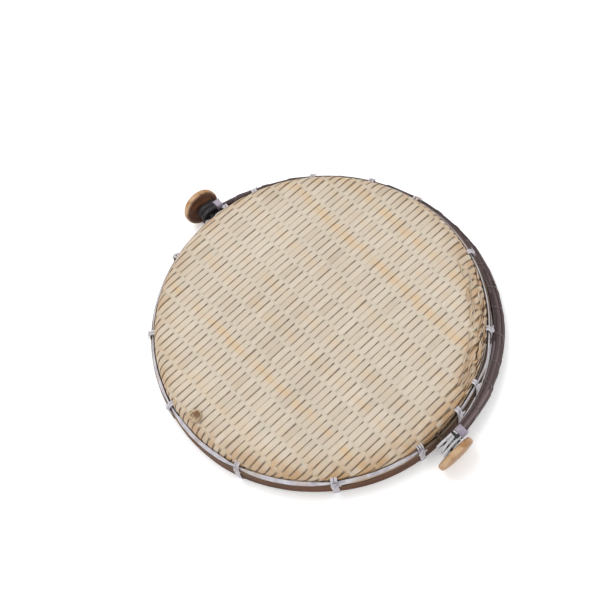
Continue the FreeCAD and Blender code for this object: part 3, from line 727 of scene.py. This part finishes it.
# ------------------------------------------------------------------ rim tape
def rim_tape(which, a0, a1):
    rng = np.random.default_rng(11 + (which == "left"))
    s = Soup()
    th = np.arange(math.radians(a0), math.radians(a1), math.radians(0.7))
    deg = np.degrees(th)
    near = np.min(np.abs((deg[:, None] - np.array(LASH)[None, :] + 180) % 360 - 180), axis=1)
    puff = np.clip(near / 8.0, 0, 1)
    puff = puff * puff * (3 - 2 * puff)
    pull = np.exp(-((deg + 60) / 7.0) ** 2) * (which == "right")
    # broader and flatter on the left, narrower towards -Y
    side_w = np.clip(-np.cos(th - math.radians(15)), 0, 1)
    rm = 181.75 + 0.2 * wobble(rng, th * 9) + 0.35 * puff * side_w + 2.6 * pull
    zm = 26.6 + 0.4 * wobble(rng, th * 7) + 0.6 * puff * side_w - 0.8 * pull
    slope = np.radians(66 + 8 * wobble(rng, th * 8)) - 0.40 * puff * side_w
    wide = 3.4 + 1.3 * puff * (0.35 + side_w) + 0.3 * wobble(rng, th * 21)
    path = np.stack([CX + rm * np.cos(th) * MM, CY + rm * np.sin(th) * MM, zm * MM], 1)
    rad = np.stack([np.cos(th), np.sin(th), 0 * th], 1)
    zz = np.array([0, 0, 1.0])
    across = rad * np.cos(slope)[:, None] - zz * np.sin(slope)[:, None]
    out = rad * np.sin(slope)[:, None] + zz * np.cos(slope)[:, None]
    ribbon(s, path, across, out, wide * MM, (0.62 + 0.1 * wobble(rng, th * 30)) * MM, uu=(th * 0.18)[:, None], tone=0.5)
    o = s.build("rim_tape_%s_cloth" % which, "basket", "cloth_tape", M_TAPE)
    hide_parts("rim_tape_" + which)


rim_tape("right", -78.4, 82.0)
rim_tape("left", 100.0, 262.4)


# ------------------------------------------------------------------ knots and lashings
def trefoil(soup, centre, ex, ey, ez, size, r, squash=0.55, turns=120, tone=0.5):
    t = np.linspace(0, 2 * math.pi, turns, endpoint=False)
    a = (np.sin(t) + 2 * np.sin(2 * t)) / 3
    b = (np.cos(t) - 2 * np.cos(2 * t)) / 3
    c = -np.sin(3 * t) * squash
    pts = (np.asarray(centre)[None] + np.outer(a * size, ex) + np.outer(b * size, ey) + np.outer(c * r * 1.35, ez))
    tube(soup, pts, r, closed=True, k=8, up=ez, uu=(t * 0.004)[:, None], tone=tone, cross=np.sin(np.linspace(0, 6.283, 8, endpoint=False))[None, :])


def tail(soup, start, ways, wide, thick, out, tone=0.5):
    pts = chaikin(np.array([start] + ways), 3, closed=False)
    pts = resample(pts, 0.0006, closed=False)
    t, s, n = frames_along(pts, False, out)
    w = wide * (1 - 0.25 * np.linspace(0, 1, len(pts)))
    ribbon(soup, pts, s, n, w, thick, uu=np.linspace(0, 0.01, len(pts))[:, None], tone=tone)


def lashings():
    rng = np.random.default_rng(23)
    s = Soup()
    loop = np.array([(172.75, 0.5), (186.0, 0.5), (186.15, 1.9), (185.85, 15.0), (185.4, 23.6), (184.2, 28.0), (182.1, 32.6), (178, 33.0), (172.75, 33.0)])
    loop = resample(loop, 0.25)
    for _ in range(6):
        loop = (np.roll(loop, 1, 0) + loop * 2 + np.roll(loop, -1, 0)) / 4
    d = np.roll(loop, -1, 0) - np.roll(loop, 1, 0)
    d /= np.linalg.norm(d, axis=1)[:, None]
    nrm2 = np.stack([d[:, 1], -d[:, 0]], 1)
    for i, a in enumerate(LASH):
        th = math.radians(a)
        rad, tan, zz = np.array([math.cos(th), math.sin(th), 0]), np.array([-math.sin(th), math.cos(th), 0]), np.array([0, 0, 1.0])
        turns = 2 if i not in (1, 3) else 3
        shrink = float(hoop_in(a)[0]) * np.clip((loop[:, 0] - 181) / 3, 0, 1)
        rr_ = loop[:, 0] - shrink
        w = (7.4 if i in (2, 4) else 6.2) / turns * 1.12
        for k in range(turns):
            off = (k - (turns - 1) / 2) * w * 0.88 + rng.normal(0, 0.15)
            twist = rng.normal(0, 0.35)
            zrel = (loop[:, 1] - 16) / 16
            y = off + twist * zrel + 0.25 * np.sin(loop[:, 1] / 5 + k)
            path = (np.array([CX, CY, 0])[None] + np.outer(rr_ * MM, rad) + np.outer(y * MM, tan) + np.outer(loop[:, 1] * MM, zz))
            out = np.outer(nrm2[:, 0], rad) + np.outer(nrm2[:, 1], zz)
            across = np.broadcast_to(tan, path.shape)
            pinch = 1 - 0.25 * np.clip((loop[:, 1] - 22) / 8, 0, 1)
            ribbon(s, path, across, out, w * MM * pinch, (0.66 + 0.05 * k) * MM, closed=True,
                   uu=np.linspace(0, 0.05, len(path))[:, None], tone=rng.uniform(0.3, 0.7))
        c = np.array([CX, CY, 0]) + rad * 185.1 * MM + zz * 27.4 * MM + tan * rng.normal(0, 0.6) * MM
        spin = rng.uniform(0, 6.28)
        nz = (rad * 0.86 + zz * 0.5); nz /= np.linalg.norm(nz)
        e1 = tan * math.cos(spin) + np.cross(nz, tan) * math.sin(spin)
        e2 = np.cross(nz, e1)
        trefoil(s, c, e1, e2, nz, 2.3 * MM, 0.92 * MM, tone=rng.uniform(0.4, 0.8))
        for sg in (-1, 1):
            if rng.uniform() < 0.8:
                p0 = c + nz * 0.3 * MM
                p1 = p0 + tan * sg * 2.6 * MM + nz * 0.5 * MM
                p2 = p1 + tan * sg * rng.uniform(1.5, 3.2) * MM + zz * rng.uniform(-3.0, 2.0) * MM
                tail(s, p0, [p1, p2], 1.9 * MM, 0.6 * MM, nz, tone=rng.uniform(0.4, 0.8))
    o = s.build("rim_lashing_ties", "basket", "cloth_tape", M_TAPE)
    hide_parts("rim_lashings")


lashings()


# ------------------------------------------------------------------ bail
Y3 = np.array([0, 1.0, 0])
BX = np.array([math.cos(TILT), 0, -math.sin(TILT)])
BZ = np.array([math.sin(TILT), 0, math.cos(TILT)])


def bail_pts(r, th, w):
    r, th, w = np.broadcast_arrays(np.asarray(r, float), np.asarray(th, float), np.asarray(w, float))
    return (np.array([CX, CY, BAIL_Z]) + (r * np.cos(th) * MM)[..., None] * BX + (r * np.sin(th) * MM)[..., None] * Y3
            + (w * MM)[..., None] * BZ)


def bail_shape(th):
    # the bundle is thick near the -Y end and thins towards the far side
    deg = np.degrees(th)
    outer = np.interp(deg, [-90, -60, -45, -30, -10, 20, 45, 65, 90], [197.4, 198.4, 198.9, 197.9, 195.9, 194.8, 193.8, 192.6, 193.2])
    inner = np.interp(deg, [-90, -76, -62, -20, 20, 90], [188.0, 188.0, 186.9, 187.1, 188.0, 188.0])
    half = np.interp(deg, [-90, -30, 20, 65, 90], [3.5, 3.5, 3.2, 2.6, 2.8])
    low = np.interp(deg, [-90, 0, 50, 75, 90], [0, 0, -1.3, -2.5, -0.8])
    return inner, outer, half, low


def bail():
    rng = np.random.default_rng(37)
    s = Soup()
    cols, rows = 6, 4
    for i in range(cols):
        for j in range(rows):
            fr = (i + 0.5) / cols + rng.normal(0, 0.015)
            fw = (j + 0.5) / rows + rng.normal(0, 0.015)
            outer = i == cols - 1 or j == rows - 1 or i == 0
            cuts = [-86.2]
            while cuts[-1] < 86.2:
                cuts.append(min(86.2, cuts[-1] + rng.uniform(14, 48) if outer else 86.2))
            for a0, a1 in zip(cuts, cuts[1:]):
                if a1 - a0 < 4:
                    continue
                over = 2.0 if a1 < 86 else 0.0
                th = np.radians(np.arange(a0, a1 + over, 0.8))
                if len(th) < 5:
                    continue
                lift = np.zeros_like(th)
                if outer and a1 < 86:
                    # ends stand off a little where one splint laps the next
                    lift = 1.0 * np.clip((np.degrees(th) - (a1 - 5)) / 6, 0, 1) ** 1.3
                bi, bo, bh, bl = bail_shape(th)
                r = bi + fr * (bo - bi) + 0.34 * wobble(rng, th * 7) + (lift if i == cols - 1 else 0)
                w = bl + (2 * fw - 1) * bh + 0.34 * wobble(rng, th * 6) + (lift * 0.8 if j == rows - 1 and i < cols - 1 else 0)
                r = np.clip(r, bi + 0.5, bo + 1.2)
                w = np.clip(w, -3.9, 3.7)
                twist = 0.35 * wobble(rng, th * 4)
                size = ((bo - bi) / 8.4)[:, None]
                wr, ww = (0.80 + rng.uniform(0, 0.32)) * size, (0.90 + rng.uniform(0, 0.25)) * (bh / 3.4)[:, None]
                ang = np.linspace(0, 2 * math.pi, 8, endpoint=False) + math.pi / 8
                ca, sa = np.sign(np.cos(ang)) * np.abs(np.cos(ang)) ** 0.6, np.sign(np.sin(ang)) * np.abs(np.sin(ang)) ** 0.6
                ct, st = np.cos(twist)[:, None], np.sin(twist)[:, None]
                dr = ca[None] * wr * ct - sa[None] * ww * st
                dw = ca[None] * wr * st + sa[None] * ww * ct
                fade = np.ones(len(th)); fade[0] = fade[-1] = 0.5
                pts = bail_pts(r[:, None] + dr * fade[:, None], th[:, None], w[:, None] + dw * fade[:, None])
                s.grid(pts, uu=(th * 0.195)[:, None], tone=np.clip(rng.normal(0.45, 0.24), 0, 1), cross=ca[None, :])
    o = s.build("bail_splint_bundle", "bail", "bail_splint", M_SPLINT)
    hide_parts("bail_inner_splint", "bail_middle_splint", "bail_outer_splint", "bail_upper_splint", "bail_lower_splint")
    # one thin thread wound round the whole bundle
    b = Soup()
    t = np.linspace(0, 1, 2400)
    turns = 17.5
    ph = t * turns * 2 * math.pi
    th = np.radians(-79 + 158 * t) + 0.014 * np.sin(ph * 0.31) + 0.024 * np.sin(ph)
    cr, cw = np.cos(ph), np.sin(ph)
    bi, bo, bh, bl = bail_shape(th)
    r = (bi + bo) / 2 + ((bo - bi) / 2 + 0.35) * np.sign(cr) * np.abs(cr) ** 0.45
    w = bl + (bh + 0.85) * np.sign(cw) * np.abs(cw) ** 0.45
    tube(b, bail_pts(r, th, w), 0.36 * MM, k=7, up=(0, 0, 1), uu=(t * 2)[:, None], tone=0.5, cross=np.zeros((1, 7)))
    o = b.build("bail_binding_thread", "bail", "thread", M_THREAD)
    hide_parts("bail_binding")


bail()


def strap(soup, sign, mid, wide, r_in, reach, tip, arm, thick, end_x, bulge=1.0, tone=0.5, drop=0.0, lean=0.0):
    # one turn of strap: along the bail's top, round the peg and back under it, in the bail's plane
    n = 30
    a = np.linspace(math.pi * 0.5, math.pi * 1.5, n)
    rr = r_in + thick / 2
    back_x = rr + (reach - rr)
    cx = -(reach - rr) * 0.0
    pts = [(end_x, arm), (end_x * 0.6, arm), (4.0, max(arm, rr * 0.98))]
    for q in a:
        x = math.cos(q)
        px = rr * x if reach <= rr else rr * x - (reach - rr) * max(0.0, -x) ** 2.2
        pz = rr * math.sin(q) * (1 - tip * max(0.0, -x) ** 3)
        pts.append((px, pz))
    pts += [(4.0, -max(arm, rr * 0.98)), (end_x * 0.6, -arm), (end_x, -arm)]
    pts = resample(np.array(pts), 0.45, closed=False)
    for _ in range(3):
        pts[1:-1] = (pts[:-2] + 2 * pts[1:-1] + pts[2:]) / 4
    d = np.gradient(pts, axis=0); d /= np.linalg.norm(d, axis=1)[:, None]
    nn = np.stack([-d[:, 1], d[:, 0]], 1)
    near = np.clip(1 - np.abs(pts[:, 0]) / 16.0, 0, 1)
    th_ = np.where(pts[:, 0] < 6, thick * (1 + (bulge - 1) * near), np.minimum(thick, 1.5))
    y = mid + lean * np.clip(-pts[:, 0] / 10, -1.2, 1) + 0.18 * np.sin(pts[:, 0] / 3 + mid)
    z = pts[:, 1] - drop * np.clip(-pts[:, 0] / 9, 0, 1)
    world = (np.array([CX, CY, BAIL_Z])[None] + (pts[:, 0] * MM)[:, None] * BX + (sign * y * MM)[:, None] * Y3 + (z * MM)[:, None] * BZ)
    out = nn[:, 0:1] * BX + nn[:, 1:2] * BZ
    across = np.broadcast_to(Y3, world.shape)
    ribbon(soup, world, across, out, wide * MM, th_ * MM, uu=np.linspace(0, 0.06, len(world))[:, None], tone=tone)


def band(soup, sign, x0, x1, y0, y1, half, turns, wide, thick, seed):
    # tape wound round the bail's end, in a squarish helix
    rng = np.random.default_rng(seed)
    ph = np.linspace(0, turns * 2 * math.pi, int(90 * turns))
    c, d = np.cos(ph), np.sin(ph)
    y = (y0 + y1) / 2 + (y1 - y0) / 2 * np.sign(c) * np.abs(c) ** 0.35
    z = half * np.sign(d) * np.abs(d) ** 0.35
    x = x0 + (x1 - x0) * ph / ph[-1] + 0.25 * np.sin(ph * 0.5) + 0.15 * wobble(rng, ph)
    world = np.array([CX, CY, BAIL_Z])[None] + (x * MM)[:, None] * BX + (sign * y * MM)[:, None] * Y3 + (z * MM)[:, None] * BZ
    out = (c[:, None] * sign * Y3 + d[:, None] * BZ); out /= np.linalg.norm(out, axis=1)[:, None]
    across = np.broadcast_to(BX, world.shape)
    ribbon(soup, world, across, out, wide * MM, thick * MM, uu=(ph * 0.002)[:, None], tone=0.5)


def eyes():
    # far side: black strap wound twice round the peg, with a short tail towards the rim
    s = Soup()
    strap(s, 1, 198.3, 6.4, 3.9, 7.2, 0.15, 4.95, 3.3, 13.0, bulge=1.15)
    strap(s, 1, 191.6, 6.6, 3.9, 8.0, 0.30, 4.95, 3.3, 13.0, bulge=1.15, lean=-0.5)
    c0 = np.array([CX, CY, BAIL_Z]) + (-5.5 * MM) * BX + 190.6 * MM * Y3 - 1.0 * MM * BZ
    tail(s, c0, [c0 + np.array([-2.4, -0.9, -1.4]) * MM, c0 + np.array([-5.0, -1.6, -5.0]) * MM], 3.4 * MM, 1.5 * MM, (0, 0, 1), tone=0.4)
    o = s.build("bail_eye_far_strap", "bail", "black_strap", M_STRAP)
    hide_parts("bail_eye_far")
    # near side: three loose strands of white tape round the peg, over a black strap end
    s = Soup()
    strap(s, -1, 189.9, 2.9, 3.7, 9.2, 0.75, 5.0, 1.15, 15.0, lean=-0.4, drop=0.5, tone=0.7)
    strap(s, -1, 194.6, 3.0, 3.7, 8.8, 0.75, 5.0, 1.15, 15.0, lean=1.5, drop=1.5, tone=0.5)
    strap(s, -1, 199.0, 2.8, 3.7, 9.6, 0.75, 5.0, 1.15, 15.0, lean=0.9, drop=1.0, tone=0.8)
    rng = np.random.default_rng(77)
    for y0, x0, lx in ((190.2, -8.4, -3.0), (196.0, -8.2, -3.4), (199.8, -8.6, -2.4)):
        for k in range(6):
            p0 = np.array([CX, CY, BAIL_Z]) + (x0 + 1.6) * MM * BX - (y0 + rng.uniform(-1, 1)) * MM * Y3 + rng.uniform(-1.6, 0.6) * MM * BZ
            p1 = p0 + np.array([lx * 0.7 + rng.normal(0, 0.5), rng.normal(0, 0.5), -1.0 + rng.normal(0, 0.8)]) * MM
            p2 = p1 + np.array([lx * 0.5 + rng.normal(0, 0.8), rng.normal(0, 0.9), -1.8 + rng.normal(0, 1.0)]) * MM
            tail(s, p0, [p1, p2], 0.5 * MM, 0.4 * MM, (0, 0, 1), tone=rng.uniform(0.4, 0.9))
    o = s.build("bail_eye_near_strands", "bail", "cloth_tape", M_WHITE)
    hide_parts("bail_eye_near")
    s = Soup()
    band(s, -1, 10.6, 13.6, 188.8, 198.0, 5.5, 2.2, 2.3, 1.3, 5)
    s.build("bail_eye_near_black_turns", "bail", "black_strap", M_STRAP)


eyes()


def end_wraps():
    s = Soup()
    band(s, -1, 16.2, 24.0, 188.1, 198.6, 5.95, 3.1, 3.9, 0.75, 61)
    c = np.array([CX, CY, BAIL_Z]) + 19.0 * MM * BX - 194.5 * MM * Y3 + 6.5 * MM * BZ
    tail(s, c, [c + np.array([-1.5, -2.6, 0.3]) * MM, c + np.array([-4.0, -5.2, -2.2]) * MM], 4.6 * MM, 0.7 * MM, (0, 0, 1), tone=0.6)
    o = s.build("bail_end_wrap_near_tape", "bail", "cloth_tape", M_LILAC)
    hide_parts("bail_end_wrap_near")
    s = Soup()
    band(s, 1, 12.2, 19.0, 188.6, 198.0, 5.95, 3.1, 3.4, 0.75, 62)
    o = s.build("bail_end_wrap_far_tape", "bail", "cloth_tape", M_LILAC)
    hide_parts("bail_end_wrap_far")


end_wraps()


# ------------------------------------------------------------------ knotted bead on the base
def bead():
    s = Soup()
    blo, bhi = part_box("base_bead")
    lean = math.radians(-BEAD_LEAN)
    o0 = np.array([CX - 167.5 * MM, CY + 1.0 * MM, BEAD_Z * MM])
    ex = np.array([math.cos(lean), 0, -math.sin(lean)]); ey = np.array([0, 1.0, 0]); ez = np.array([math.sin(lean), 0, math.cos(lean)])
    t = np.linspace(0, 2 * math.pi, 420, endpoint=False)
    leads, bights = 3, 4
    ph, q = t * leads, t * bights
    lat = 0.60 + 0.52 * np.cos(q)
    r = 6.1 * np.cos(lat - 0.12) + 0.1
    z = 0.9 + 4.2 * np.sin(np.clip(lat, 0.05, 1.5)) + 0.42 * np.sin(q * 1.5 + ph)
    pts = o0 + (r * np.cos(ph) * MM)[:, None] * ex + (r * np.sin(ph) * MM)[:, None] * ey + (z * MM)[:, None] * ez
    nrm = (r * np.cos(ph))[:, None] * ex + (r * np.sin(ph))[:, None] * ey + (z)[:, None] * ez
    nrm /= np.linalg.norm(nrm, axis=1)[:, None]
    tt, _, _ = frames_along(pts, True)
    across = np.cross(tt, nrm); across /= np.linalg.norm(across, axis=1)[:, None]
    ribbon(s, pts, across, nrm, 3.1 * MM, 1.3 * MM, closed=True, uu=(t * 0.02)[:, None], tone=0.5)
    # core under the plait
    a = np.linspace(0.03, math.pi / 2 - 0.02, 10)
    prof = [(0.6, -7.5), (0.95, -7.4), (0.95, -0.05), (5.2, 0.0)] + [(5.7 * math.cos(x), 0.4 + 4.3 * math.sin(x)) for x in a]
    prof = np.array(prof)
    k = 24
    an = np.linspace(0, 2 * math.pi, k, endpoint=False)
    core = (o0 + (prof[:, None, 0] * np.cos(an)[None] * MM)[..., None] * ex + (prof[:, None, 0] * np.sin(an)[None] * MM)[..., None] * ey
            + (prof[:, None, 1] * np.ones(k)[None] * MM)[..., None] * ez)
    s.grid(core, uu=0.0, cross=0.9, tone=0.2)
    o = s.build("base_bead_knot", "basket", "bead_cane", M_CANE)
    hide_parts("base_bead")


bead()

# ------------------------------------------------------------------ stage
bpy.ops.mesh.primitive_plane_add(size=30, location=(0, 0, -0.0001))
floor = bpy.context.object
floor.name = "floor"
fm = bpy.data.materials.new("pale_floor")
fm.use_nodes = True
fb = fm.node_tree.nodes["Principled BSDF"]
fb.inputs["Base Color"].default_value = (0.96, 0.96, 0.96, 1)
fb.inputs["Roughness"].default_value = 0.95
fb.inputs["Emission Color"].default_value = (1, 1, 1, 1)
fb.inputs["Emission Strength"].default_value = 0.22
fb.inputs["Specular IOR Level"].default_value = 0.1
floor.data.materials.append(fm)

world = bpy.data.worlds.new("studio")
bpy.context.scene.world = world
world.use_nodes = True
world.node_tree.nodes["Background"].inputs[0].default_value = (1, 1, 1, 1)
world.node_tree.nodes["Background"].inputs[1].default_value = 0.80


def area(name, loc, size, power, aim=(0, 0, 0.02), col=(1, 1, 1)):
    d = bpy.data.lights.new(name, "AREA")
    d.shape, d.size, d.size_y, d.energy, d.color = "RECTANGLE", size, size, power, col
    o = bpy.data.objects.new(name, d)
    o.location = loc
    o.rotation_euler = (Vector(aim) - Vector(loc)).to_track_quat("-Z", "Y").to_euler()
    bpy.context.collection.objects.link(o)
    return o


# the key comes from the view's upper left
key_dir = (side * -0.55 + top * 0.75 + back * 1.0).normalized()
area("key", Vector((0, 0, 0.02)) + key_dir * 1.8, 0.8, 10)
area("fill", Vector((0, 0, 0.02)) + (side * 0.8 + back * 0.9 - top * 0.2).normalized() * 2.2, 1.6, 2.5)
area("overhead", (0, 0, 2.2), 1.6, 3)
